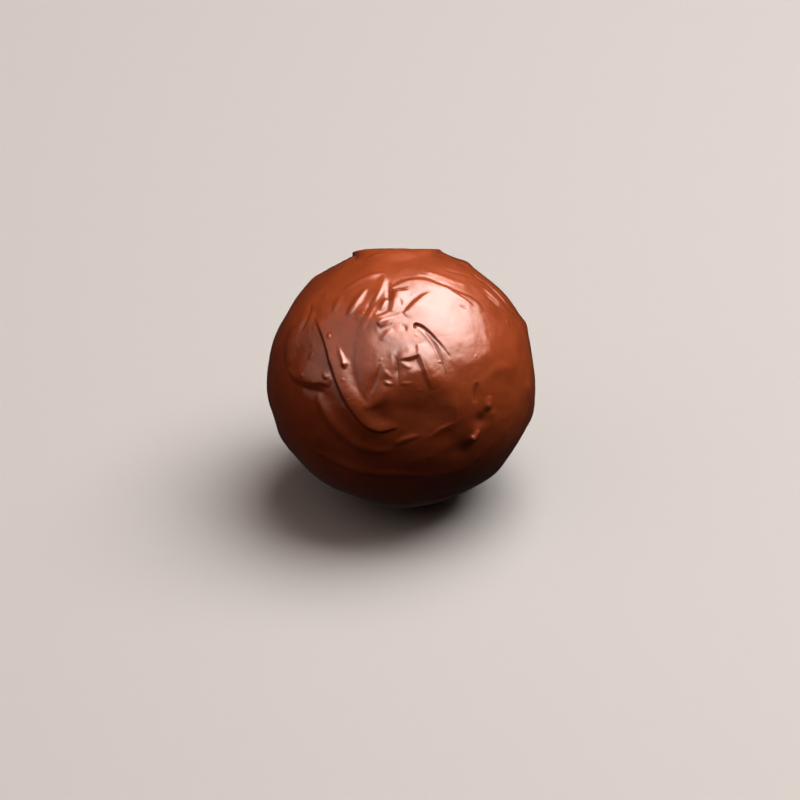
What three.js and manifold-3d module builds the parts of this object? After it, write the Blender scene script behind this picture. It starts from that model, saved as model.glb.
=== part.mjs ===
// A chocolate praline: one ball of ganache, rolled by hand in melted milk chocolate.
// The palms leave long overlapping folds, short wrinkles and soft dents in the coat,
// and the coat ran out into a small flat foot where the ball stood while it set.
// Millimetres, +Z up, the origin in the middle of the small flat spot that it rests on.
// The shown side faces -Y.

import * as THREE from "three";
import { mergeVertices } from "three/addons/utils/BufferGeometryUtils.js";
import Module from "manifold-3d";

// Driving dimensions, in millimetres
const WIDTH = 28;
const RADIUS = WIDTH / 2;
const REST_RADIUS = 3.6;
const FOOT_RADIUS = 4.4;

// The ball sagged a little while it was soft: its height over its width
const SQUASH = 0.96;

// How many times each edge of the icosahedron is split
const SPLITS = 22;

// How much finer the facets are in the middle of the shown side than all round on average
const SHOWN_FINENESS = 1.3;

// Below this width, in hundredths of the radius, a mark is finer than the facets
const FINEST = 3.2;

// The shown side is seen from this far above the horizon, in degrees
const SHOWN_LEAN = 33;

const rad = THREE.MathUtils.degToRad;

// Marks in the coat, each in hundredths of the ball's radius. A mark follows a path across
// one side of the ball, as seen from straight outside it: x to the right and y up from the
// middle of that side. It rises to its full height along the path, and falls away within
// the given widths to the left and to the right of it. A negative rise is a groove. The
// peak says how far along the path the mark is highest, where that isn't halfway.

// Long folds of the lower left, the overlapped side always above and to the right
const FOLDS = [
  { path: [[-64, 46], [-58, 31], [-54, 19], [-50.5, 8], [-47, -3], [-42, -15], [-36, -25],
    [-28, -35], [-17, -41], [-3, -39]], rise: 3.2, left: 10, right: 2.4, peak: 0.55 },
  { path: [[-56, 16], [-53, 6], [-49, -5], [-44, -17], [-37, -28], [-29, -37]],
    rise: -1.0, left: 2, right: 3 },
  { path: [[-46.5, 24], [-45, 17], [-43.8, 10], [-41.5, 4], [-39, -3]],
    rise: 1.4, left: 3, right: 3 },
  { path: [[-62, -12], [-60, -20], [-56, -28], [-51, -36], [-44, -43], [-34, -51], [-21, -56],
    [-8, -56]], rise: 2.0, left: 9, right: 4 },
  { path: [[-66, -55], [-55, -61], [-42, -67], [-29, -71.5], [-16, -73.5], [-4, -74], [14, -75]],
    rise: 2.0, left: 8, right: 3 },
  { path: [[2, -74], [22, -75], [38, -72], [53, -66]], rise: 1.1, left: 7, right: 5 },
];

// The raised pad at the left, with its steep lower edge and the hollow under it
const PAD = [
  { path: [[-64, 50], [-73, 42], [-81, 32], [-85, 20], [-84, 8]], rise: 1.5, left: 12, right: 4 },
  { path: [[-85, 8], [-80, 2], [-74, -0.5], [-66, -2], [-59, -2], [-53, -5]],
    rise: 2.1, left: 12, right: 3, peak: 0.6 },
  { path: [[-74, -5], [-66, -8], [-57, -9]], rise: -1.3, left: 2, right: 5 },
];

// Short ripples of the upper left, running down to the left
const RIPPLES = [
  { path: [[-26, 67.5], [-31, 60], [-36, 52.5], [-40, 46]], rise: 1.7, left: 3, right: 3 },
  { path: [[-12.5, 80], [-13, 73], [-15.5, 66], [-19, 60], [-23, 54]],
    rise: 1.0, left: 3, right: 4.5 },
  { path: [[-9.5, 60], [-12, 55], [-15, 49]], rise: 1.4, left: 3, right: 3 },
  { path: [[-20, 54], [-24, 46], [-29, 37], [-33, 31]], rise: 1.0, left: 3, right: 3 },
  { path: [[-44, 63], [-47, 57], [-50, 49]], rise: 1.0, left: 3, right: 3 },
  { path: [[-44, 65], [-33, 72], [-23, 76.5], [-12, 79.5]],
    rise: 1.6, left: 3, right: 3.5, peak: 0.7 },
  { path: [[-8, 73], [-8, 62], [-9, 52]], rise: -1.1, left: 3, right: 4 },
];

// The thin sheet at the left end of the smooth top, the step across it and the short
// thick ridge below it
const SHEET = [
  { path: [[-5, 66], [-5.5, 61], [-6.5, 55], [-8, 48]], rise: 1.6, left: 7, right: 3 },
  { path: [[1.5, 47], [6, 52], [11, 56.5], [16, 60.5], [23, 64]],
    rise: 1.4, left: 3, right: 8, peak: 0.4 },
  { path: [[-18, 39], [-14, 42], [-8, 44.5], [-2, 47], [4, 49]],
    rise: 0.9, left: 3, right: 3.4, peak: 0.15 },
];

// The open crease where two folds met
const CREASE = [
  { path: [[9, 37], [9.7, 39.6], [12.5, 39.3], [16, 37.3], [20, 33.8], [24, 29.5], [28, 25],
    [31.5, 20.5], [36, 14]], rise: -1.8, left: 3, right: 3, peak: 0.3 },
];

// Wrinkles of the middle
const WRINKLES = [
  { path: [[11.5, 25], [13, 19], [14.5, 14], [17, 7], [19.5, -1], [22, -10]],
    rise: 2.2, left: 10, right: 3, peak: 0.45 },
  { path: [[-2, 14], [4, 16], [8.5, 17], [13.5, 19]], rise: 1.5, left: 5, right: 2 },
  { path: [[-8, 20], [-6, 13], [-3, 5]], rise: 0.9, left: 5, right: 3 },
  { path: [[-13, -4], [-7.5, -7]], rise: 1.1, left: 3, right: 3 },
  { path: [[-8, -7], [-13, -13], [-18, -20], [-28, -24]], rise: 0.9, left: 3, right: 6 },
  { path: [[-6, -52], [2, -48], [13, -45]], rise: 1.0, left: 3, right: 3 },
  { path: [[19, -48], [26, -42], [32, -38.5], [40, -34.5]], rise: 1.1, left: 3, right: 3 },
];

// The broad dull hollow below the middle, where a palm pressed
const HOLLOW = {
  path: [[-24, -25], [-8, -28], [8, -29], [24, -29], [40, -27]], rise: -2.8, left: 14, right: 28,
};

// Broad bands round the smooth shoulder at the upper right, and the dents below it
const SHOULDER = [
  { path: [[-9, 67], [-1, 71], [8, 73], [17, 72.5], [26, 69], [34, 66], [44, 62], [53, 58],
    [60, 50]], rise: 1.7, left: 2.5, right: 11 },
  { path: [[50, 81], [57, 75], [64, 70.5], [72, 63], [80, 53], [87, 44], [91, 35]],
    rise: -1.6, left: 3, right: 3 },
  { path: [[59, 69], [66, 62.5], [73, 55.5], [79, 49]], rise: 1.0, left: 3, right: 3 },
  { path: [[36, 11], [47, 11], [58, 12.5], [70, 17.5]], rise: 0.6, left: 9, right: 8 },
  { path: [[58, -3], [68, 4], [76, 7], [85, 7]], rise: 0.5, left: 5, right: 5 },
  { path: [[55.5, -4], [54, -12], [54, -20]], rise: -1.3, left: 3, right: 3 },
  { path: [[65, -14], [62, -26]], rise: 1.0, left: 4, right: 4 },
  { path: [[57, -40], [52.5, -46], [50.5, -50]], rise: 2.2, left: 3, right: 3 },
];

const SHOWN_MARKS = [
  ...FOLDS, ...PAD, ...RIPPLES, ...SHEET, ...CREASE, ...WRINKLES, HOLLOW, ...SHOULDER,
];

// Bumps and dents of the shown side
const SHOWN_DABS = [
  { at: [-21, 42], rise: 1.7, width: 9 },
  { at: [-15, 43], rise: 0.8, width: 6 },
  { at: [3, 4], rise: -0.9, width: 4 },
  { at: [22, -7], rise: 1.3, width: 13 },
  { at: [82, -10], rise: -0.8, width: 13 },
  { at: [58, -33], rise: -2.0, width: 5 },
  { at: [45, -56], rise: -1.6, width: 6.5 },
  { at: [36, -46], rise: -1.2, width: 13 },
  { at: [-16, -31], rise: -0.8, width: 8 },
  { at: [1, -97], rise: 1.2, width: 9 },
];

// Where the shown outline leaves an even oval: degrees from the right, turning up
const OUTLINE = [
  { turn: 9, rise: -1.8, width: 16 },
  { turn: 24, rise: 1.8, width: 6 },
  { turn: 51, rise: -1.3, width: 12 },
  { turn: 61, rise: 1.5, width: 6 },
  { turn: 77, rise: 1.5, width: 9 },
  { turn: 118, rise: -1.2, width: 8 },
  { turn: 131, rise: 1.0, width: 7 },
  { turn: 151, rise: -1.3, width: 14 },
  { turn: 186, rise: 1.2, width: 20 },
  { turn: 208, rise: 1.8, width: 12 },
  { turn: 248, rise: -2.2, width: 16 },
  { turn: 268, rise: 1.0, width: 8 },
  { turn: 313, rise: 1.8, width: 14 },
  { turn: 344, rise: 1.9, width: 12 },
];

// The other sides, as the palms left them: nested crescent folds, the same kinds of ripples
// and wrinkles as on the shown side, and dents. Each side is named by its turn about the
// upright axis and its height, and its relief is rolled by an angle of its own, in degrees.
const SIDES = [
  { turn: 95, lean: 12, roll: 20, mirrored: true },
  { turn: 160, lean: 38, roll: 250, mirrored: false },
  { turn: 215, lean: -8, roll: 130, mirrored: true },
  { turn: 275, lean: 24, roll: 300, mirrored: false },
  { turn: 130, lean: -42, roll: 60, mirrored: false },
  { turn: 330, lean: -58, roll: 200, mirrored: true },
];

// Crescent folds on each side, from the inmost outwards
const CRESCENTS = 3;
const CRESCENT_SIZE = 20;
const CRESCENT_STEP = 15;
const CRESCENT_POINTS = 5;

// Dents and bumps all over the other sides
const SIDE_DABS = 5;

// The seed of the even random draws
const SEED = 4711;

// Draws numbers from low to high, always the same ones for one seed
function draws(seed) {
  let state = seed;
  return (low, high) => {
    state = (state * 16807) % 2147483647;
    return low + (high - low) * (state / 2147483647);
  };
}

// One side of the ball seen from straight outside it
function side({ turn, lean, roll = 0, mirrored = false }) {
  const across = rad(turn);
  const above = rad(lean);
  const right = new THREE.Vector3(Math.cos(across), Math.sin(across), 0);
  const up = new THREE.Vector3(
    -Math.sin(above) * Math.sin(across), Math.sin(above) * Math.cos(across), Math.cos(above));
  const out = new THREE.Vector3(
    Math.cos(above) * Math.sin(across), -Math.cos(above) * Math.cos(across), Math.sin(above));
  return {
    right: right.applyAxisAngle(out, rad(roll)).multiplyScalar(mirrored ? -1 : 1),
    up: up.applyAxisAngle(out, rad(roll)),
    out,
  };
}

// The direction from the middle of the ball to a place on one side of it
function towards(from, [x, y]) {
  const depth = Math.sqrt(Math.max(0, 1 - (x * x + y * y) / 10000));
  return new THREE.Vector3()
    .addScaledVector(from.right, x / 100)
    .addScaledVector(from.up, y / 100)
    .addScaledVector(from.out, depth)
    .normalize();
}

// A mark laid on the ball: a smooth run of directions along its path
function layMark(from, mark) {
  const corners = mark.path.map((place) => towards(from, place));
  const curve = new THREE.CatmullRomCurve3(corners, false, "catmullrom", 0.5);
  const run = curve.getPoints(4 * (corners.length - 1)).map((point) => point.normalize());
  return {
    run,
    rise: mark.rise / 100,
    left: Math.max(mark.left, FINEST) / 100,
    right: Math.max(mark.right, FINEST) / 100,
    bend: Math.log(0.5) / Math.log(mark.peak ?? 0.5),
  };
}

function layDab(from, dab) {
  return { at: towards(from, dab.at), rise: dab.rise / 100, width: dab.width / 100 };
}

// The height of a laid mark at one direction. It thins out towards both ends.
const toNext = new THREE.Vector3();
const offset = new THREE.Vector3();
const leftward = new THREE.Vector3();
function markHeight({ run, rise, left, right, bend }, direction) {
  const reach = 3 * Math.max(left, right);
  let nearest = Infinity;
  let along = 0;
  let isLeft = true;
  for (let i = 0; i + 1 < run.length; i++) {
    toNext.subVectors(run[i + 1], run[i]);
    offset.subVectors(direction, run[i]);
    const share = THREE.MathUtils.clamp(offset.dot(toNext) / toNext.lengthSq(), 0, 1);
    const away = offset.addScaledVector(toNext, -share).length();
    if (away < nearest) {
      nearest = away;
      along = (i + share) / (run.length - 1);
      isLeft = leftward.crossVectors(run[i], toNext).dot(offset) > 0;
    }
  }
  if (nearest > reach) {
    return 0;
  }
  const fade = Math.sin(Math.PI * along ** bend) ** 0.7;
  const width = (isLeft ? left : right) * (0.4 + 0.6 * fade);
  return rise * fade * Math.exp(-((nearest / width) ** 2));
}

function dabHeight({ at, rise, width }, direction) {
  return rise * Math.exp(-direction.distanceToSquared(at) / (width * width));
}

// Nested crescents, ripples, wrinkles and dents for the sides that the palms turned away
function sideRelief() {
  const marks = [];
  const dabs = [];
  const draw = draws(SEED);
  for (const turnedAway of SIDES) {
    const from = side(turnedAway);
    for (let ring = 0; ring < CRESCENTS; ring++) {
      const size = CRESCENT_SIZE + CRESCENT_STEP * ring + draw(-3, 3);
      const first = draw(-15, 15);
      const sweep = draw(75, 130);
      const path = [];
      for (let i = 0; i < CRESCENT_POINTS; i++) {
        const angle = rad(first + (sweep * i) / (CRESCENT_POINTS - 1));
        const wander = size * draw(0.95, 1.05);
        path.push([wander * Math.cos(angle), wander * Math.sin(angle)]);
      }
      marks.push(layMark(from, { path, rise: draw(2.2, 3.4), left: draw(7, 11), right: FINEST }));
    }
    for (const mark of [...RIPPLES, ...WRINKLES]) {
      marks.push(layMark(from, mark));
    }
    for (let i = 0; i < SIDE_DABS; i++) {
      const at = [draw(-60, 60), draw(-60, 60)];
      dabs.push(layDab(from, { at, rise: draw(-1.6, 1.4), width: draw(7, 20) }));
    }
  }
  return { marks, dabs };
}

// The sum of some marks and dabs at one direction
function relief({ marks, dabs }, direction) {
  let height = 0;
  for (const mark of marks) {
    height += markHeight(mark, direction);
  }
  for (const dab of dabs) {
    height += dabHeight(dab, direction);
  }
  return height;
}

// Draws evenly spread directions together towards the middle of one side
function drawTogether(direction, middle) {
  const depth = direction.dot(middle);
  const near = (1 + depth) * SHOWN_FINENESS ** 2;
  const far = 1 - depth;
  return direction
    .addScaledVector(middle, -depth)
    .multiplyScalar((2 * SHOWN_FINENESS) / (near + far))
    .addScaledVector(middle, (near - far) / (near + far))
    .normalize();
}

// The flat foot that the coat ran out into while it set, now turned to the upper back.
// Its uneven rim stands proud of the ball at both sides, and runs into it in front.
const FOOT_LEAN = 32;
const FOOT_SHIFT = -0.6;
const FOOT_LEVEL = 0.982 * RADIUS * (1 - (1 - SQUASH) * Math.cos(rad(FOOT_LEAN)) ** 2);
const FOOT_DEPTH = 1.4;
const FOOT_SIDES = 40;
const SUNK = 0.03;
const SIDE_BLEND = 0.3;
const FRONT_BLEND = 1.7;

// How far the rim reaches from the middle of the foot at one angle round it
function footReach(angle) {
  return FOOT_RADIUS * (1 + 0.03 * Math.sin(3 * angle + 1) + 0.02 * Math.sin(7 * angle));
}

// Lifts a point of the ball towards the foot's face where the foot blends into the ball
const footOut = new THREE.Vector3(0, Math.sin(rad(FOOT_LEAN)), Math.cos(rad(FOOT_LEAN)));
const footAlong = new THREE.Vector3(0, footOut.z, -footOut.y);
function blendFoot(point) {
  const level = point.dot(footOut);
  if (level < 0) {
    return point;
  }
  const across = point.x - FOOT_SHIFT;
  const along = point.dot(footAlong);
  const angle = Math.atan2(along, across);
  const blend = SIDE_BLEND + (FRONT_BLEND - SIDE_BLEND) * Math.sin(angle) ** 2;
  const fromRim = footReach(angle) - Math.hypot(across, along);
  const inside = THREE.MathUtils.smoothstep(fromRim, -blend, blend);
  return point.addScaledVector(footOut, inside * (FOOT_LEVEL - SUNK - level));
}

// The ball with its relief, as a geometry about its own middle
function rolledBall() {
  const shown = side({ turn: 0, lean: SHOWN_LEAN });
  const outline = OUTLINE.map(({ turn, rise, width }) => layDab(
    shown, { at: [100 * Math.cos(rad(turn)), 100 * Math.sin(rad(turn))], rise, width }));
  const seen = {
    marks: SHOWN_MARKS.map((mark) => layMark(shown, mark)),
    dabs: [...SHOWN_DABS.map((dab) => layDab(shown, dab)), ...outline],
  };
  const others = sideRelief();

  const ball = new THREE.IcosahedronGeometry(1, SPLITS);
  ball.deleteAttribute("normal");
  ball.deleteAttribute("uv");
  const geometry = mergeVertices(ball);
  const position = geometry.getAttribute("position");
  const direction = new THREE.Vector3();
  for (let i = 0; i < position.count; i++) {
    direction.fromBufferAttribute(position, i).normalize();
    drawTogether(direction, shown.out);
    const turnedAway = 1 - THREE.MathUtils.smoothstep(direction.dot(shown.out), -0.28, -0.04);
    const height = 1 + relief(seen, direction) + turnedAway * relief(others, direction);
    direction.multiplyScalar(RADIUS * height);
    direction.z *= SQUASH;
    blendFoot(direction);
    position.setXYZ(i, direction.x, direction.y, direction.z);
  }
  return geometry;
}

// The outline of the foot's face
function footOutline() {
  const points = [];
  for (let i = 0; i < FOOT_SIDES; i++) {
    const angle = (2 * Math.PI * i) / FOOT_SIDES;
    const reach = footReach(angle);
    points.push(new THREE.Vector2(FOOT_SHIFT + reach * Math.cos(angle), reach * Math.sin(angle)));
  }
  return new THREE.Shape(points);
}

// A closed geometry as a solid that can be joined and cut
const wasm = await Module();
wasm.setup();
function solid(geometry) {
  geometry.deleteAttribute("normal");
  geometry.deleteAttribute("uv");
  const merged = mergeVertices(geometry);
  return new wasm.Manifold(new wasm.Mesh({
    numProp: 3,
    vertProperties: new Float32Array(merged.getAttribute("position").array),
    triVerts: new Uint32Array(merged.getIndex().array),
  }));
}

function praline() {
  const tilt = new THREE.Matrix4().makeRotationX(-rad(FOOT_LEAN));

  const foot = new THREE.ExtrudeGeometry(footOutline(), { depth: FOOT_DEPTH, bevelEnabled: false });
  foot.translate(0, 0, FOOT_LEVEL - FOOT_DEPTH);
  foot.applyMatrix4(tilt);

  // The flat spot that it rests on
  const restLevel = -RADIUS * SQUASH * Math.sqrt(1 - (REST_RADIUS / RADIUS) ** 2);
  const belowRest = new THREE.BoxGeometry(WIDTH, WIDTH, RADIUS);
  belowRest.translate(0, 0, restLevel - RADIUS / 2);

  const whole = solid(rolledBall()).add(solid(foot)).subtract(solid(belowRest));
  const { vertProperties, triVerts } = whole.getMesh();
  const geometry = new THREE.BufferGeometry();
  geometry.setAttribute("position", new THREE.BufferAttribute(vertProperties, 3));
  geometry.setIndex(new THREE.BufferAttribute(triVerts, 1));
  geometry.translate(0, 0, -restLevel);
  geometry.computeVertexNormals();

  // Milk chocolate, set to a satin gloss
  const milkChocolate = new THREE.MeshStandardMaterial({
    color: 0x6e3019,
    roughness: 0.32,
    metalness: 0,
  });
  const mesh = new THREE.Mesh(geometry, milkChocolate);
  mesh.name = "praline";
  return mesh;
}

const object = new THREE.Group();
object.add(praline());

export default object;
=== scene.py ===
import math

import bmesh
import bpy
import numpy as np
from mathutils import Matrix, Vector


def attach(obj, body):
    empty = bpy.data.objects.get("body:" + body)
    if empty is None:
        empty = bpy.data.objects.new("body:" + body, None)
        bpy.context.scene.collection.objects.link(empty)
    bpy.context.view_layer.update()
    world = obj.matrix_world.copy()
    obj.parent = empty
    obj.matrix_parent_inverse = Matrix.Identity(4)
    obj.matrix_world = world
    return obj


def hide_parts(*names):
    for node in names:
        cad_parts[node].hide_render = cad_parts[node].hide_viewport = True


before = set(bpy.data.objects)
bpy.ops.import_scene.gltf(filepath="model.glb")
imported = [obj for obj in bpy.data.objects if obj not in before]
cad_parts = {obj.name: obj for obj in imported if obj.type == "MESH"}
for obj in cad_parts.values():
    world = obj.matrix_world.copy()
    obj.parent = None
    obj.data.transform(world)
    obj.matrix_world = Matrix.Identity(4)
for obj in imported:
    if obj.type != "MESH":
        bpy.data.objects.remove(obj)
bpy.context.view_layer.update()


# The ball. A spoonful of soft ganache, rolled between palms wet with melted milk chocolate.
# It sagged a little while soft, and lies on a small flat spot. Its mesh is a cube grid
# blown up into a ball, with finer facets on the shown side.
WIDTH = 0.028
RADIUS = WIDTH / 2
SQUASH = 0.96
REST_RADIUS = 0.0036
SHOWN_LEAN = 33

CUBE_FACETS = 128
SHOWN_FINENESS = 1.8


def side(turn, lean, roll=0, mirrored=False):
    """One side of the ball seen from straight outside it: its right, up and out directions."""
    across, above, rolled = math.radians(turn), math.radians(lean), math.radians(roll)
    right = np.array([math.cos(across), math.sin(across), 0])
    up = np.array([
        -math.sin(above) * math.sin(across),
        math.sin(above) * math.cos(across),
        math.cos(above),
    ])
    out = np.cross(right, up)
    turned_right = math.cos(rolled) * right + math.sin(rolled) * up
    turned_up = math.cos(rolled) * up - math.sin(rolled) * right
    return np.array([-turned_right if mirrored else turned_right, turned_up, out])


def ball_mesh():
    """A cube grid blown up into a ball of radius 1, finest in the middle of the shown side."""
    grid = bmesh.new()
    bmesh.ops.create_cube(grid, size=2)
    bmesh.ops.subdivide_edges(grid, edges=grid.edges, cuts=CUBE_FACETS - 1, use_grid_fill=True)
    mesh = bpy.data.meshes.new("praline")
    grid.to_mesh(mesh)
    grid.free()
    corners = np.zeros(len(mesh.vertices) * 3)
    mesh.vertices.foreach_get("co", corners)
    even = np.tan(corners.reshape(-1, 3) * math.pi / 4)
    even /= np.linalg.norm(even, axis=1, keepdims=True)
    away = even[:, 2]
    spread = (1 + away) * SHOWN_FINENESS ** 2 + (1 - away)
    drawn = np.empty_like(even)
    drawn[:, :2] = 2 * SHOWN_FINENESS * even[:, :2] / spread[:, None]
    drawn[:, 2] = ((1 + away) * SHOWN_FINENESS ** 2 - (1 - away)) / spread
    return mesh, drawn @ side(0, SHOWN_LEAN)


# Marks of the rolling. The palms drew the coat into long overlapping folds, short ripples and
# wrinkles. Each has its path on one side of the ball, its rise, its widths to the left and to
# the right, in hundredths of the radius, and the share of its length at its peak, if not half.
FOLDS = [
    ([(-64, 46), (-58, 31), (-54, 19), (-50.5, 8), (-47, -3), (-42, -15), (-36, -25),
      (-28, -35), (-17, -41), (-3, -39)], 3.2, 10, 1.7, 0.55),
    ([(-56, 16), (-53, 6), (-49, -5), (-44, -17), (-37, -28), (-29, -37)], -1.2, 1.6, 2.4),
    ([(-47, 25), (-45.3, 19), (-43, 13), (-41, 6)], 1.4, 1.4, 1.8, 0.65),
    ([(-54, 33), (-52.8, 28.5)], 0.8, 1.2, 1.2),
    ([(-62, -12), (-60, -20), (-56, -28), (-51, -36), (-44, -43), (-34, -51), (-21, -56),
      (-8, -56)], 2.0, 6.5, 4),
    ([(-66, -55), (-55, -61), (-42, -67), (-29, -71.5), (-16, -73.5), (-4, -74), (14, -75)],
     2.0, 5.5, 2.2),
    ([(2, -74), (22, -75), (38, -72), (53, -66)], 1.1, 7, 5),
    ([(12, -95), (30, -92), (52, -84)], 0.8, 3, 3),
]
PAD = [
    ([(-64, 50), (-73, 42), (-81, 32), (-85, 20), (-84, 8)], 1.5, 12, 4),
    ([(-85, 7), (-80, 0.5), (-74, -2.3), (-66, -4), (-59, -4), (-53, -6.5)], 2.1, 12, 2.8, 0.6),
    ([(-74, -7), (-66, -10), (-57, -11)], -1.3, 2, 5),
    ([(-57.5, 4), (-55, -2)], 0.9, 1.6, 1.6),
    ([(-67, 56), (-69, 46), (-74, 34)], -0.7, 1.6, 4),
    ([(-69, 13), (-65, 18.5)], 0.5, 1.2, 1.2),
]
RIPPLES = [
    ([(-26, 67.5), (-31, 60), (-36, 52.5), (-40, 46)], 1.7, 2.5, 3),
    ([(-12.5, 80), (-13, 73), (-15.5, 66), (-19, 60), (-23, 54)], 0.9, 1.5, 4.5),
    ([(-11, 59.5), (-13, 55), (-15.5, 50)], 1.3, 1.8, 2.4),
    ([(-20, 54), (-24, 46), (-29, 37), (-33, 31)], 0.6, 2.0, 2.8),
    ([(-44, 63), (-47, 57), (-50, 49)], 0.9, 3, 3),
    ([(-29, 50), (-33, 43)], 0.8, 3, 3),
    ([(-44, 65), (-33, 72), (-23, 76.5), (-12, 79.5)], 1.3, 2.2, 3.5, 0.6),
    ([(-19, 64), (-23, 56), (-27, 47)], -0.7, 2.0, 2.2),
    ([(-10.3, 73), (-10.3, 64), (-9.5, 57)], -0.8, 2.5, 1.3),
    ([(-19, 46), (-14, 48.5), (-8, 51.5)], -0.7, 2.2, 1.6),
]
SHEET = [
    ([(-5, 67), (-5, 61), (-6, 55), (-7.5, 49)], 1.7, 7, 3.2),
    ([(-7, 63.5), (-1, 64.5), (6, 65.5)], 0.9, 1.3, 5),
    ([(-9, 66.5), (-2, 67.7), (5, 68.5)], -0.8, 1.2, 1.2),
    ([(-1.5, 59.5), (-0.5, 53.5)], -0.7, 1.3, 1.3),
    ([(1, 50.5), (4, 54.5), (8, 59), (13, 63), (20, 66)], -0.8, 1.2, 3.2, 0.3),
    ([(1.5, 47), (6, 52), (11, 56.5), (16, 60.5), (23, 64)], 1.4, 2.6, 8, 0.4),
    ([(-18, 40), (-14, 42), (-8, 44.5), (-2, 47), (4, 49)], 0.9, 2.0, 3.0, 0.2),
    ([(-17, 35.5), (-12.5, 37), (-6, 39.5), (0.5, 42)], -0.35, 1.6, 2.6, 0.3),
    ([(0, 40.5), (1.5, 38), (3, 34.5)], -0.5, 1.6, 2.0),
    ([(-7, 37), (-10.5, 33), (-15.5, 27.5)], 0.5, 2.4, 2.4),
]
CREASE = [
    ([(9, 37), (9.7, 39.6), (12.5, 39.3), (16, 37.3), (20, 33.8), (24, 29.5), (28, 25),
      (31.5, 20.5), (36, 14)], -2.4, 0.8, 0.9, 0.2),
    ([(10.5, 37), (14, 34.7), (18, 30.8), (21.5, 26), (24.5, 20.5), (27.5, 13)], 0.5, 1.0, 1.2),
    ([(17, 33.8), (20.5, 30.5), (23.3, 26.7), (26, 21.7), (29.3, 14), (31.3, 6), (33, -3)],
     -1.0, 0.8, 0.9, 0.35),
    ([(25.5, 11.5), (30, 11)], 0.2, 0.9, 0.9),
]
WRINKLES = [
    ([(11.5, 25), (13, 19), (14.5, 14), (17, 7), (19.5, -1), (22, -10)], 2.2, 10, 3, 0.45),
    ([(-3, 13), (2, 14.5), (7.5, 15.5), (13, 18)], 1.6, 7, 2.2),
    ([(-2.5, 12), (1, 10), (6.8, 6.2)], 0.7, 2.2, 2.0),
    ([(-8, 20), (-6, 13), (-3, 5)], 0.4, 5, 3),
    ([(-6, 17.5), (-4, 11), (-2.6, 5), (-2.2, -6)], -0.6, 0.9, 2.2),
    ([(-2, -4.8), (3, -5.2), (8, -4.4)], 0.4, 1.4, 1.5),
    ([(-13.5, -3.4), (-10.3, -5), (-7, -6.2)], 0.8, 1.4, 1.5),
    ([(-13, 5.5), (-10.5, 2), (-7.5, -1)], 0.35, 1.6, 2),
    ([(-16, 10), (-18.5, 1), (-21, -6), (-25, -15)], -0.8, 1.8, 2.5),
    ([(-34, 28), (-35.5, 18), (-36, 8), (-34, -2), (-30, -13), (-25, -20)], -0.6, 1.8, 4),
    ([(-8, -7), (-13, -13), (-18, -20), (-28, -24)], 0.9, 3, 6),
    ([(-6, -52), (2, -48), (13, -45)], 1.0, 2.5, 2.5),
    ([(19, -48), (26, -42), (32, -38.5), (40, -34.5)], 0.7, 1.6, 3),
]
HOLLOW = [
    ([(-3, 7), (3, 5.5), (10, 4), (16, 3)], 0.9, 5.5, 13),
    ([(-24, -25), (-8, -28), (8, -29), (24, -29), (40, -27)], -2.8, 14, 28),
]
SHOULDER = [
    ([(-9, 67), (-1, 71), (8, 73), (17, 72.5), (26, 69), (34, 66), (44, 62), (53, 58), (60, 50)],
     1.7, 2.0, 11),
    ([(8, 76.5), (18, 76), (28, 71.8), (38, 68)], -0.4, 1.4, 1.8),
    ([(16, 81), (27, 77.5), (38, 73.5), (50, 69)], 0.6, 2.5, 4),
    ([(30, 82), (40, 79.5), (50, 77)], -0.6, 2, 2),
    ([(33, 66), (42, 60), (53, 53)], 0.6, 1.5, 3),
    ([(42, 54.5), (49, 51.5)], -0.5, 1, 1),
    ([(35, 89), (45, 87.3), (52, 83)], 0.6, 1.6, 1.6),
    ([(50, 81), (57, 75), (64, 70.5), (72, 63), (80, 53), (87, 44), (91, 35)], -1.3, 1.5, 2.2),
    ([(59, 69), (66, 62.5), (73, 55.5), (79, 49)], 1.3, 1.6, 3.0),
    ([(60, 64), (69, 55.5), (79, 47)], -0.7, 1.6, 2.2),
    ([(36, 11), (47, 11), (58, 12.5), (70, 17.5)], 0.6, 9, 8),
    ([(58, -3), (68, 4), (76, 7), (85, 7)], 0.5, 5, 5),
    ([(92, -2), (95, -14), (93, -27)], 0.8, 3, 3),
    ([(55.5, -4), (54, -12), (54, -20)], -1.3, 2.6, 2.2),
    ([(65, -14), (62, -26)], 1.0, 4, 4),
    ([(57, -40), (52.5, -46), (50.5, -50)], 2.2, 3, 2.6),
]
SHOWN_MARKS = FOLDS + PAD + RIPPLES + SHEET + CREASE + WRINKLES + HOLLOW + SHOULDER

# Bumps and dents, each with its place, rise and width in hundredths of the radius
SHOWN_DABS = [
    ((-53, 13), 0.6, 5),
    ((-42, 10), 1.1, 2.2),
    ((-73, 1), 0.5, 1.4),
    ((-66, 24), 0.4, 1.2),
    ((-65, 37), 0.4, 1.2),
    ((-83, 35), 0.4, 1.3),
    ((7, 20), 0.3, 3),
    ((25, -3), 1.9, 12),
    ((-21, 42), 1.7, 9),
    ((-15, 43), 0.8, 6),
    ((82, -10), -0.8, 13),
    ((67, -28), 0.7, 3.5),
    ((58, -33), -2.0, 5),
    ((51.5, -46), 1.2, 2.0),
    ((63.5, -22), 0.9, 2.2),
    ((45, -56), -1.6, 6.5),
    ((36, -46), -1.2, 13),
    ((64.5, 72), 0.6, 1.3),
    ((56, 79), 0.6, 1.3),
    ((78, 42), 0.7, 1.3),
    ((81.5, 42), 0.7, 1.3),
    ((-16, -31), -0.8, 8),
    ((-34, 91.5), -1.6, 1.8),
    ((1, -97), 1.2, 9),
]

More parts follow.
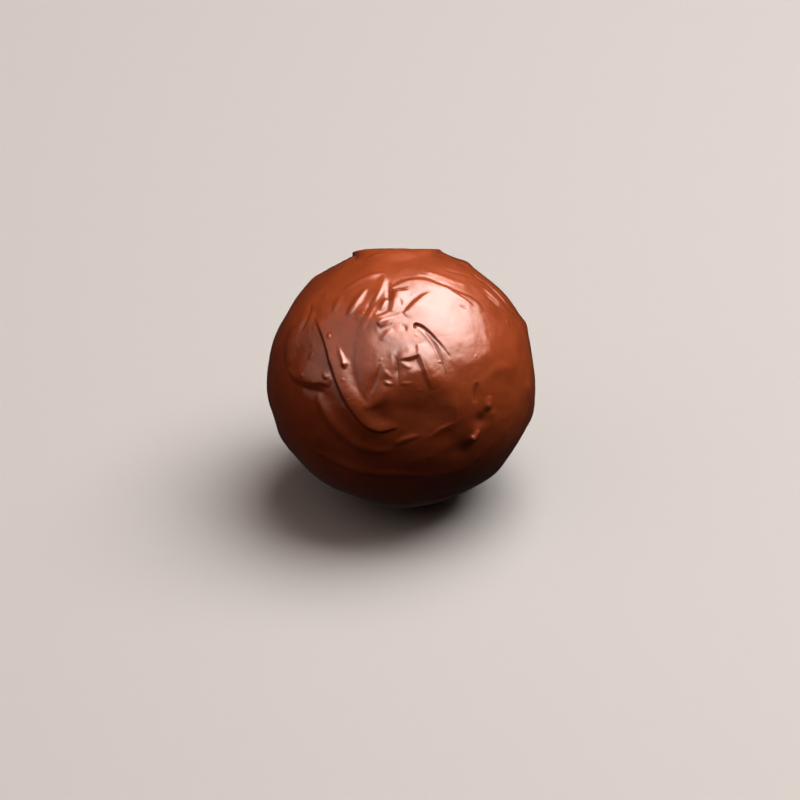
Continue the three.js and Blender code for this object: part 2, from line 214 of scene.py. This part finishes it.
# Where the shown outline leaves an even oval: degrees turned up from the right, rise, width
OUTLINE = [
    (9, -1.8, 16),
    (24, 1.8, 6),
    (51, -1.3, 12),
    (61, 1.5, 6),
    (77, 1.5, 9),
    (118, -1.2, 8),
    (131, 1.0, 7),
    (151, -1.3, 14),
    (186, 1.2, 20),
    (208, 1.8, 12),
    (248, -2.2, 16),
    (268, 1.0, 8),
    (313, 1.8, 14),
    (344, 1.9, 12),
]

# How a mark is laid: the steps of each stretch, the widths past which nothing is left of it,
# and how it thins out and narrows towards its ends
RUN_STEPS = 5
MARK_REACH = 3
END_FADE = 0.7
END_WIDTH = 0.4


def towards(seen, place):
    """The direction from the middle of the ball to a place on one side of it."""
    x, y = place[0] / 100, place[1] / 100
    direction = np.array([x, y, math.sqrt(max(0, 1 - x * x - y * y))]) @ seen
    return direction / np.linalg.norm(direction)


def smooth_run(corners):
    """A smooth run of directions through the corners of a path, a few to each stretch."""
    ends = [2 * corners[0] - corners[1], *corners, 2 * corners[-1] - corners[-2]]
    run = []
    for before, start, end, after in zip(ends, ends[1:], ends[2:], ends[3:]):
        slope_in, slope_out = (end - before) / 2, (after - start) / 2
        for t in np.arange(0, 1, 1 / RUN_STEPS):
            run.append(
                start
                + slope_in * t
                + (3 * (end - start) - 2 * slope_in - slope_out) * t ** 2
                + (2 * (start - end) + slope_in + slope_out) * t ** 3
            )
    run.append(corners[-1])
    return [point / np.linalg.norm(point) for point in run]


def mark_height(directions, seen, mark):
    """How far a mark lifts each direction of the ball. It thins out towards both ends."""
    path, rise, left, right, *peak = mark
    bend = math.log(0.5) / math.log(peak[0] if peak else 0.5)
    run = smooth_run([towards(seen, place) for place in path])
    left, right = left / 100, right / 100
    middle = np.mean(run, axis=0)
    reach = MARK_REACH * max(left, right)
    spread = max(np.linalg.norm(point - middle) for point in run) + reach
    near = np.flatnonzero(np.linalg.norm(directions - middle, axis=1) < spread)
    spots = directions[near]
    nearest = np.full(len(near), np.inf)
    along = np.zeros(len(near))
    is_left = np.zeros(len(near), bool)
    for i, (start, end) in enumerate(zip(run, run[1:])):
        step = end - start
        share = np.clip((spots - start) @ step / (step @ step), 0, 1)
        offset = spots - start - share[:, None] * step
        distance = np.linalg.norm(offset, axis=1)
        closer = distance < nearest
        nearest[closer] = distance[closer]
        along[closer] = (i + share[closer]) / (len(run) - 1)
        is_left[closer] = (offset[closer] @ np.cross(start, step)) > 0
    fade = np.clip(np.sin(math.pi * along ** bend), 0, 1) ** END_FADE
    width = np.where(is_left, left, right) * (END_WIDTH + (1 - END_WIDTH) * fade)
    heights = np.zeros(len(directions))
    heights[near] = rise / 100 * fade * np.exp(-((nearest / width) ** 2))
    return heights


def dab_height(directions, seen, place, rise, width):
    """How far a bump or dent lifts each direction of the ball."""
    away = np.sum((directions - towards(seen, place)) ** 2, axis=1)
    return rise / 100 * np.exp(-away / (width / 100) ** 2)


mesh, directions = ball_mesh()
shown = side(0, SHOWN_LEAN)
height = np.ones(len(directions))
for mark in SHOWN_MARKS:
    height += mark_height(directions, shown, mark)
for place, rise, width in SHOWN_DABS:
    height += dab_height(directions, shown, place, rise, width)
for turn, rise, width in OUTLINE:
    place = (100 * math.cos(math.radians(turn)), 100 * math.sin(math.radians(turn)))
    height += dab_height(directions, shown, place, rise, width)


# The other sides, as the palms left them: nested crescent folds, the same kinds of ripples
# and wrinkles as on the shown side, and dents. Each has its turn about the upright axis, its
# height and its own roll in degrees, and some are mirrored.
SIDES = [
    (95, 12, 20, True),
    (160, 38, 250, False),
    (215, -8, 130, True),
    (275, 24, 300, False),
    (130, -42, 60, False),
    (330, -58, 200, True),
]

# How far behind the outline the other sides begin, and how far it takes to blend them in
SIDES_FROM = 0.04
SIDES_BLEND = 0.24

# Their crescents and dents, with the lowest and highest value where one is drawn for each
FINEST = 3.2
CRESCENTS = 3
CRESCENT_SIZE = 20
CRESCENT_STEP = 15
CRESCENT_POINTS = 5
CRESCENT_STRAY = (-3, 3)
CRESCENT_START = (-15, 15)
CRESCENT_SWEEP = (75, 130)
CRESCENT_WANDER = (0.95, 1.05)
CRESCENT_RISE = (2.2, 3.4)
CRESCENT_WIDTH = (7, 11)
SIDE_DABS = 5
DAB_PLACE = (-60, 60)
DAB_RISE = (-1.6, 1.4)
DAB_WIDTH = (7, 20)
SEED = 4711
DRAW_FACTOR = 16807
DRAW_LIMIT = 2 ** 31 - 1


def draws(seed):
    """Draws numbers from low to high, always the same ones for one seed."""
    state = seed

    def draw(low, high):
        nonlocal state
        state = state * DRAW_FACTOR % DRAW_LIMIT
        return low + (high - low) * state / DRAW_LIMIT

    return draw


def crescent(draw, ring):
    """One of the nested crescent folds of a side."""
    size = CRESCENT_SIZE + CRESCENT_STEP * ring + draw(*CRESCENT_STRAY)
    first = draw(*CRESCENT_START)
    sweep = draw(*CRESCENT_SWEEP)
    path = []
    for i in range(CRESCENT_POINTS):
        angle = math.radians(first + sweep * i / (CRESCENT_POINTS - 1))
        wander = size * draw(*CRESCENT_WANDER)
        path.append((wander * math.cos(angle), wander * math.sin(angle)))
    return path, draw(*CRESCENT_RISE), draw(*CRESCENT_WIDTH), FINEST


def other_side(draw):
    """The marks and dabs of one of the other sides."""
    marks = [crescent(draw, ring) for ring in range(CRESCENTS)]
    for path, rise, left, right, *peak in RIPPLES + WRINKLES:
        marks.append((path, rise, max(left, FINEST), max(right, FINEST), *peak))
    dabs = []
    for i in range(SIDE_DABS):
        place = (draw(*DAB_PLACE), draw(*DAB_PLACE))
        dabs.append((place, draw(*DAB_RISE), draw(*DAB_WIDTH)))
    return marks, dabs


def eased(share):
    """A share from 0 to 1 that starts and ends softly."""
    return share * share * (3 - 2 * share)


draw = draws(SEED)
turned_away = eased(np.clip((-SIDES_FROM - directions @ shown[2]) / SIDES_BLEND, 0, 1))
for turn, lean, roll, mirrored in SIDES:
    seen = side(turn, lean, roll, mirrored)
    marks, dabs = other_side(draw)
    for mark in marks:
        height += turned_away * mark_height(directions, seen, mark)
    for place, rise, width in dabs:
        height += turned_away * dab_height(directions, seen, place, rise, width)


# The setting foot. The coat ran out into a small flat foot under the ball while it set,
# and the ball now lies with that foot turned to the upper back. It runs softly into the
# front of the ball, with a thin crisp lip at its left end.
FOOT_RADIUS = 0.0045
FOOT_SHIFT = -0.0006
FOOT_LEAN = 32
FOOT_CUT = 0.982
FOOT_LEVEL = FOOT_CUT * RADIUS * (1 - (1 - SQUASH) * math.cos(math.radians(FOOT_LEAN)) ** 2)

# Its rim isn't quite round, is crisp at the sides and soft elsewhere, and its left end droops
RIM_WAVES = 3
WAVE_START = 1
WAVE_SHARE = 0.03
RIM_RIPPLES = 7
RIPPLE_SHARE = 0.02
CRISP_RIM = 0.00012
SOFT_RIM = 0.0017
LIP = 0.0003
LIP_WIDTH = 0.0006
LIP_TURN = 0.5
DROOP = 0.0004
DROOP_FROM = 0.6
DROOP_SPAN = 0.4

FOOT_MARKS = [
    ([(-28, 88.5), (-20, 91), (-13, 91.5)], 1.0, 1.8, 2.2),
    ([(-8, 95), (2, 96.5), (14, 95.5)], 0.4, 1.5, 1.5),
]

points = directions * RADIUS * height[:, None]
points[:, 2] *= SQUASH
foot_lean = math.radians(FOOT_LEAN)
foot_across = np.array([1, 0, 0])
foot_out = np.array([0, math.sin(foot_lean), math.cos(foot_lean)])
foot_along = np.cross(foot_out, foot_across)
x, y, z = points @ foot_across - FOOT_SHIFT, points @ foot_along, points @ foot_out
angle = np.arctan2(y, x)
waves = WAVE_SHARE * np.sin(RIM_WAVES * angle + WAVE_START)
ripples = RIPPLE_SHARE * np.sin(RIM_RIPPLES * angle)
from_rim = FOOT_RADIUS * (1 + waves + ripples) - np.hypot(x, y)
softness = CRISP_RIM + (SOFT_RIM - CRISP_RIM) * np.sin(angle) ** 2
inside = eased(np.clip(from_rim / (2 * softness) + 0.5, 0, 1)) * (z > 0)
droop_share = (-x - DROOP_FROM * FOOT_RADIUS) / (DROOP_SPAN * FOOT_RADIUS)
drooped = DROOP * np.clip(droop_share, 0, 1) ** 2
points += (inside * (FOOT_LEVEL - drooped - z))[:, None] * foot_out
for mark in FOOT_MARKS:
    points += (RADIUS * mark_height(directions, shown, mark))[:, None] * directions
at_left = np.exp(-(((np.abs(angle) - math.pi) / LIP_TURN) ** 2))
lip = LIP * inside * at_left * np.exp(-((from_rim / LIP_WIDTH) ** 2))
points -= lip[:, None] * foot_across

# The flat spot that it rests on
rest_level = -RADIUS * SQUASH * math.sqrt(1 - (REST_RADIUS / RADIUS) ** 2)
points[:, 2] = np.maximum(points[:, 2], rest_level) - rest_level

mesh.vertices.foreach_set("co", points.ravel())
mesh.update()

SHARP_SLOPE = 0.27


def crease_depth(mesh, points):
    """How deep each vertex lies between its neighbours: 0 on smooth skin, 1 in a sharp fold."""
    ends = np.zeros(len(mesh.edges) * 2, int)
    mesh.edges.foreach_get("vertices", ends)
    first, second = ends.reshape(-1, 2).T
    far = np.linalg.norm(points - points.mean(axis=0), axis=1)
    slope = (far[second] - far[first]) / np.linalg.norm(points[second] - points[first], axis=1)
    total = np.zeros(len(points))
    count = np.zeros(len(points))
    np.add.at(total, first, slope)
    np.add.at(total, second, -slope)
    np.add.at(count, first, 1)
    np.add.at(count, second, 1)
    return np.clip(total / count / SHARP_SLOPE, 0, 1)


# How deep each place lies in a fold, kept as the mask for the painted shade in the folds
fold_shade = mesh.attributes.new("fold_shade", "FLOAT", "POINT")
fold_shade.data.foreach_set("value", crease_depth(mesh, points))
mesh.shade_smooth()
praline = bpy.data.objects.new("praline_coat", mesh)
bpy.context.scene.collection.objects.link(praline)


# The milk chocolate: a satin gloss, brown with a warm red in it, duller where the palms dragged it.
# Shade is painted into the folds: the deeper a fold, the nearer its brown comes to black, and the less
# coat it has to reflect light.
BROWN = (0.15, 0.024, 0.005, 1)
WARM_BROWN = (0.21, 0.036, 0.008, 1)
# The colour of the painted shade in the deepest folds
FOLD_SHADE = (0.012, 0.003, 0.002, 1)
BROWN_UNTIL = 0.3
WARM_FROM = 0.7
PATCHES_PER_METRE = 220
GRAINS_PER_METRE = 1600
GRAIN_HEIGHT = 0.00008
GRAIN_STRENGTH = 0.12
GLOSSY_ROUGHNESS = 0.26
DULL_ROUGHNESS = 0.44
REFLECTION = 0.15
COAT = 0.85
COAT_ROUGHNESS = 0.15


def add_node(tree, kind, **settings):
    """A new node of a tree, with its own settings."""
    added = tree.nodes.new(kind)
    for name, value in settings.items():
        setattr(added, name, value)
    return added


def chocolate():
    """The material of the coat."""
    material = bpy.data.materials.new("milk_chocolate")
    material.use_nodes = True
    tree = material.node_tree
    shader = tree.nodes["Principled BSDF"]
    place = add_node(tree, "ShaderNodeTexCoord")

    patches = add_node(tree, "ShaderNodeTexNoise")
    patches.inputs["Scale"].default_value = PATCHES_PER_METRE
    patches.inputs["Detail"].default_value = 3
    tree.links.new(place.outputs["Object"], patches.inputs["Vector"])
    colour = add_node(tree, "ShaderNodeValToRGB")
    browns = colour.color_ramp.elements
    browns[0].position, browns[0].color = BROWN_UNTIL, BROWN
    browns[1].position, browns[1].color = WARM_FROM, WARM_BROWN
    tree.links.new(patches.outputs["Fac"], colour.inputs["Fac"])
    # Painted shade in the folds: the brown turns towards the near-black fold shade as a fold deepens
    folds = add_node(tree, "ShaderNodeAttribute", attribute_name="fold_shade")
    darker = add_node(tree, "ShaderNodeMix", data_type="RGBA")
    darker.inputs[7].default_value = FOLD_SHADE
    tree.links.new(folds.outputs["Fac"], darker.inputs[0])
    tree.links.new(colour.outputs["Color"], darker.inputs[6])
    tree.links.new(darker.outputs[2], shader.inputs["Base Color"])

    gloss = add_node(tree, "ShaderNodeMapRange")
    gloss.inputs["To Min"].default_value = GLOSSY_ROUGHNESS
    gloss.inputs["To Max"].default_value = DULL_ROUGHNESS
    tree.links.new(patches.outputs["Fac"], gloss.inputs["Value"])
    tree.links.new(gloss.outputs["Result"], shader.inputs["Roughness"])
    shader.inputs["Specular IOR Level"].default_value = REFLECTION
    # The painted shade in the folds also takes their coat away, so no reflection shows there
    coat = add_node(tree, "ShaderNodeMapRange")
    coat.inputs["To Min"].default_value = COAT
    coat.inputs["To Max"].default_value = 0
    tree.links.new(folds.outputs["Fac"], coat.inputs["Value"])
    tree.links.new(coat.outputs["Result"], shader.inputs["Coat Weight"])
    shader.inputs["Coat Roughness"].default_value = COAT_ROUGHNESS

    grain = add_node(tree, "ShaderNodeTexNoise")
    grain.inputs["Scale"].default_value = GRAINS_PER_METRE
    grain.inputs["Detail"].default_value = 4
    tree.links.new(place.outputs["Object"], grain.inputs["Vector"])
    bump = add_node(tree, "ShaderNodeBump")
    bump.inputs["Strength"].default_value = GRAIN_STRENGTH
    bump.inputs["Distance"].default_value = GRAIN_HEIGHT
    tree.links.new(grain.outputs["Fac"], bump.inputs["Height"])
    tree.links.new(bump.outputs["Normal"], shader.inputs["Normal"])
    tree.links.new(bump.outputs["Normal"], shader.inputs["Coat Normal"])
    return material


# The skin. Rolling left a faint unevenness all over the ball, and tiny pimples where
# crumbs of ganache lie under the coat. The flat spot below stays flat.
SWELL_ROUGHNESS = 0.4
TO_SQUARE_METRES = 10000
SKIN_FROM = 0.0001
FULL_SKIN_FROM = 0.0015


def rolled_skin():
    """The node tree that gives a ball its skin."""
    tree = bpy.data.node_groups.new("rolled_skin", "GeometryNodeTree")
    ports = tree.interface
    ports.new_socket("Geometry", in_out="INPUT", socket_type="NodeSocketGeometry")
    for name, kind in (
        ("Swell Height", "Float"),
        ("Swell Size", "Float"),
        ("Pimples per Square Centimetre", "Float"),
        ("Pimple Height", "Float"),
        ("Pimple Radius", "Float"),
        ("Seed", "Int"),
        ("Coat", "Material"),
    ):
        ports.new_socket(name, in_out="INPUT", socket_type="NodeSocket" + kind)
    ports.new_socket("Geometry", in_out="OUTPUT", socket_type="NodeSocketGeometry")
    given = add_node(tree, "NodeGroupInput")
    link = tree.links.new

    def maths(operation, first, second):
        node = add_node(tree, "ShaderNodeMath", operation=operation)
        for socket, value in zip(node.inputs, (first, second)):
            if isinstance(value, (int, float)):
                socket.default_value = value
            else:
                link(value, socket)
        return node.outputs[0]

    place = add_node(tree, "GeometryNodeInputPosition")
    swell = add_node(tree, "ShaderNodeTexNoise")
    swell.inputs["Detail"].default_value = 3
    swell.inputs["Roughness"].default_value = SWELL_ROUGHNESS
    link(place.outputs[0], swell.inputs["Vector"])
    link(maths("DIVIDE", 1, given.outputs["Swell Size"]), swell.inputs["Scale"])
    swelling = maths("MULTIPLY", maths("SUBTRACT", swell.outputs[0], 0.5), given.outputs["Swell Height"])

    crumbs = add_node(tree, "GeometryNodeDistributePointsOnFaces", distribute_method="RANDOM")
    link(given.outputs["Geometry"], crumbs.inputs["Mesh"])
    per_metre = maths("MULTIPLY", given.outputs["Pimples per Square Centimetre"], TO_SQUARE_METRES)
    link(per_metre, crumbs.inputs["Density"])
    link(given.outputs["Seed"], crumbs.inputs["Seed"])
    to_crumb = add_node(tree, "GeometryNodeProximity", target_element="POINTS")
    link(crumbs.outputs["Points"], to_crumb.inputs[0])
    pimple = add_node(tree, "ShaderNodeMapRange", interpolation_type="SMOOTHSTEP")
    link(to_crumb.outputs["Distance"], pimple.inputs["Value"])
    link(given.outputs["Pimple Radius"], pimple.inputs["From Max"])
    link(given.outputs["Pimple Height"], pimple.inputs["To Min"])
    pimple.inputs["To Max"].default_value = 0

    apart = add_node(tree, "ShaderNodeSeparateXYZ")
    link(place.outputs[0], apart.inputs[0])
    off_flat = add_node(tree, "ShaderNodeMapRange", interpolation_type="SMOOTHSTEP")
    link(apart.outputs["Z"], off_flat.inputs["Value"])
    off_flat.inputs["From Min"].default_value = SKIN_FROM
    off_flat.inputs["From Max"].default_value = FULL_SKIN_FROM
    rise = maths("MULTIPLY", maths("ADD", swelling, pimple.outputs[0]), off_flat.outputs[0])
    normal = add_node(tree, "GeometryNodeInputNormal")
    lift = add_node(tree, "ShaderNodeVectorMath", operation="SCALE")
    link(normal.outputs[0], lift.inputs[0])
    link(rise, lift.inputs["Scale"])
    moved = add_node(tree, "GeometryNodeSetPosition")
    link(given.outputs["Geometry"], moved.inputs["Geometry"])
    link(lift.outputs[0], moved.inputs["Offset"])

    real = add_node(tree, "GeometryNodeRealizeInstances")
    link(moved.outputs[0], real.inputs[0])
    coated = add_node(tree, "GeometryNodeSetMaterial")
    link(real.outputs[0], coated.inputs["Geometry"])
    link(given.outputs["Coat"], coated.inputs["Material"])
    result = add_node(tree, "NodeGroupOutput")
    link(coated.outputs[0], result.inputs[0])
    return tree


skin = praline.modifiers.new("rolled_skin", "NODES")
skin.node_group = rolled_skin()
SKIN_VALUES = {
    "Swell Height": 0.00018,
    "Swell Size": 0.0022,
    "Pimples per Square Centimetre": 6.0,
    "Pimple Height": 0.00003,
    "Pimple Radius": 0.00022,
    "Seed": 3,
    "Coat": chocolate(),
}
for item in skin.node_group.interface.items_tree:
    if item.name in SKIN_VALUES:
        skin[item.identifier] = SKIN_VALUES[item.name]
evaluated = praline.evaluated_get(bpy.context.evaluated_depsgraph_get())
rolled = bpy.data.meshes.new_from_object(evaluated)
praline.modifiers.remove(skin)
praline.data = rolled
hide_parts("praline")
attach(praline, "root")


# The studio: a plain pale floor, a soft overhead light, two soft windows that make the
# highlights, and fills from the left and from below. The camera looks down on the ball.
CAMERA_LEAN = 32
LENS = 400
SENSOR = 36
PICTURE = 800
BALL_PIXELS = 268
BALL_AT = (402, 377)
CLIP_START = 0.01

middle = Vector((0, 0, -rest_level))
camera_lean = math.radians(CAMERA_LEAN)
camera_out = Vector((0, -math.cos(camera_lean), math.sin(camera_lean)))
camera_up = Vector((0, math.sin(camera_lean), math.cos(camera_lean)))
camera_right = Vector((1, 0, 0))
frame_width = WIDTH * PICTURE / BALL_PIXELS
distance = frame_width * LENS / SENSOR


def turned(out, up):
    """The rotation of a camera or light whose back points out."""
    right = up.cross(out).normalized()
    return Matrix((right, out.cross(right).normalized(), out.normalized())).transposed().to_euler()


lens = bpy.data.cameras.new("camera")
lens.lens = LENS
lens.sensor_width = SENSOR
lens.clip_start = CLIP_START
camera = bpy.data.objects.new("camera", lens)
shift = camera_right * (PICTURE / 2 - BALL_AT[0]) + camera_up * (BALL_AT[1] - PICTURE / 2)
aim = middle + shift * frame_width / PICTURE
camera.location = aim + camera_out * distance
camera.rotation_euler = turned(camera_out, camera_up)
bpy.context.scene.collection.objects.link(camera)
bpy.context.scene.camera = camera

# How far out from the middle of a panel, and the light that is left there
FADING = [
    (0.15, (1, 1, 1, 1)),
    (0.42, (0.78, 0.72, 0.69, 1)),
    (0.62, (0.52, 0.41, 0.36, 1)),
    (0.82, (0.24, 0.12, 0.09, 1)),
    (1.0, (0, 0, 0, 1)),
]


def in_view(across, upward, outward):
    """A direction given to the camera's right, up, and back towards the camera."""
    return (camera_right * across + camera_up * upward + camera_out * outward).normalized()


def soft_light(name, towards_it, along, far, width, length, power, colour):
    """A rectangular soft light that faces the ball, its length lying along a direction."""
    panel = bpy.data.lights.new(name, "AREA")
    panel.shape = "RECTANGLE"
    panel.size, panel.size_y = width, length
    panel.energy = power
    panel.color = colour
    held = bpy.data.objects.new(name, panel)
    held.location = middle + towards_it * far
    held.rotation_euler = turned(towards_it, along)
    bpy.context.scene.collection.objects.link(held)
    return held


def fade_out(light):
    """Lets a light panel fade softly from its middle to its edges."""
    light.data.use_nodes = True
    tree = light.data.node_tree
    place = add_node(tree, "ShaderNodeNewGeometry")
    centred = add_node(tree, "ShaderNodeVectorMath", operation="MULTIPLY_ADD")
    centred.inputs[1].default_value = (2, 2, 0)
    centred.inputs[2].default_value = (-1, -1, 0)
    tree.links.new(place.outputs["Parametric"], centred.inputs[0])
    away = add_node(tree, "ShaderNodeVectorMath", operation="LENGTH")
    tree.links.new(centred.outputs["Vector"], away.inputs[0])
    fading = add_node(tree, "ShaderNodeValToRGB")
    steps = fading.color_ramp.elements
    first, *between, last = FADING
    steps[0].position, steps[0].color = first
    steps[1].position, steps[1].color = last
    for position, colour in between:
        steps.new(position).color = colour
    tree.links.new(away.outputs["Value"], fading.inputs["Fac"])
    tree.links.new(fading.outputs["Color"], tree.nodes["Emission"].inputs["Color"])


window_along = in_view(-0.795, 0.604, -0.06)
overhead = soft_light(
    "overhead", in_view(0.38, 0.87, 0.28), window_along,
    far=0.6, width=0.5, length=0.6, power=11.3, colour=(1, 0.96, 0.93),
)
overhead.visible_glossy = False
window = soft_light(
    "window", in_view(0.415, 0.83, 0.375), window_along,
    far=0.4, width=0.73, length=0.73, power=26, colour=(1, 0.97, 0.94),
)
window.visible_diffuse = False
fade_out(window)
near_window = soft_light(
    "near_window", in_view(0, 0.53, 0.85), in_view(0, 0.85, -0.53),
    far=0.5, width=0.46, length=0.60, power=6.4, colour=(1, 0.95, 0.92),
)
near_window.visible_diffuse = False
fade_out(near_window)
fill = soft_light(
    "fill", in_view(-0.70, 0.48, 0.53), in_view(0, 1, 0),
    far=0.6, width=1.4, length=1.2, power=6.0, colour=(1, 0.86, 0.79),
)
fade_out(fill)
low_fill = soft_light(
    "low_fill", in_view(0.5, -0.45, 0.74), in_view(0, 1, 0),
    far=0.6, width=0.5, length=0.3, power=0.15, colour=(1, 0.90, 0.85),
)
low_fill.visible_glossy = False

ROOM_COLOUR = (0.8, 0.7, 0.64, 1)
ROOM_LIGHT = 0.02
room = bpy.data.worlds.new("studio")
room.use_nodes = True
backdrop = room.node_tree.nodes["Background"]
backdrop.inputs["Color"].default_value = ROOM_COLOUR
backdrop.inputs["Strength"].default_value = ROOM_LIGHT
bpy.context.scene.world = room

FLOOR_SIZE = 3
FLOOR_COLOUR = (0.22, 0.215, 0.21, 1)
FLOOR_ROUGHNESS = 0.8
bpy.ops.mesh.primitive_plane_add(size=FLOOR_SIZE)
floor = bpy.context.object
floor.name = "floor"
pale = bpy.data.materials.new("pale_floor")
pale.use_nodes = True
paint = pale.node_tree.nodes["Principled BSDF"]
paint.inputs["Base Color"].default_value = FLOOR_COLOUR
paint.inputs["Roughness"].default_value = FLOOR_ROUGHNESS
floor.data.materials.append(pale)
floor.visible_diffuse = False
floor.visible_glossy = False

bpy.context.scene.view_settings.view_transform = "Standard"
